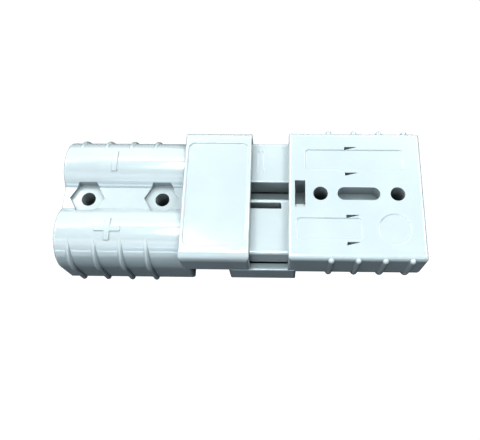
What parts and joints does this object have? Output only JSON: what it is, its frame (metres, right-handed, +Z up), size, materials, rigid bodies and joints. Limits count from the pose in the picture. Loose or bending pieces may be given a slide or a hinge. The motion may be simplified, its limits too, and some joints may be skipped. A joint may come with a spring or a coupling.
{
  "type": "genderless power connector",
  "caption": "Genderless power connector: identical moulded halves with ribbed cable barrels, hooded tongues and sprung crimp contacts, partly plugged together and free to slide apart.",
  "frame": {"origin": "under the middle of the plugged pair, on the surface that it lies on", "axes": "+X along the pair, from half a (flat side down) to half b (flat side up); +Y across the barrels, from the plus pole to the minus pole; +Z up"},
  "size_m": [0.1496, 0.0588, 0.0296],
  "materials": {
    "shell": "light blue-grey moulded polycarbonate, glossy with faint flow marks",
    "plated_contact": "silver-plated copper, bright satin",
    "spring_steel": "rolled stainless strip"
  },
  "bodies": {
    "half_a": {"housing_a": "shell", "contact_a_pos": "plated_contact", "contact_a_neg": "plated_contact", "spring_a_pos": "spring_steel", "spring_a_neg": "spring_steel"},
    "half_b": {"housing_b": "shell", "contact_b_pos": "plated_contact", "contact_b_neg": "plated_contact", "spring_b_pos": "spring_steel", "spring_b_neg": "spring_steel"}
  },
  "joints": [
    {"name": "plug_slide", "type": "slide", "parent": "half_a", "child": "half_b", "axis": [1, 0, 0], "range_m": [-0.0152, 0.03]}
  ]
}
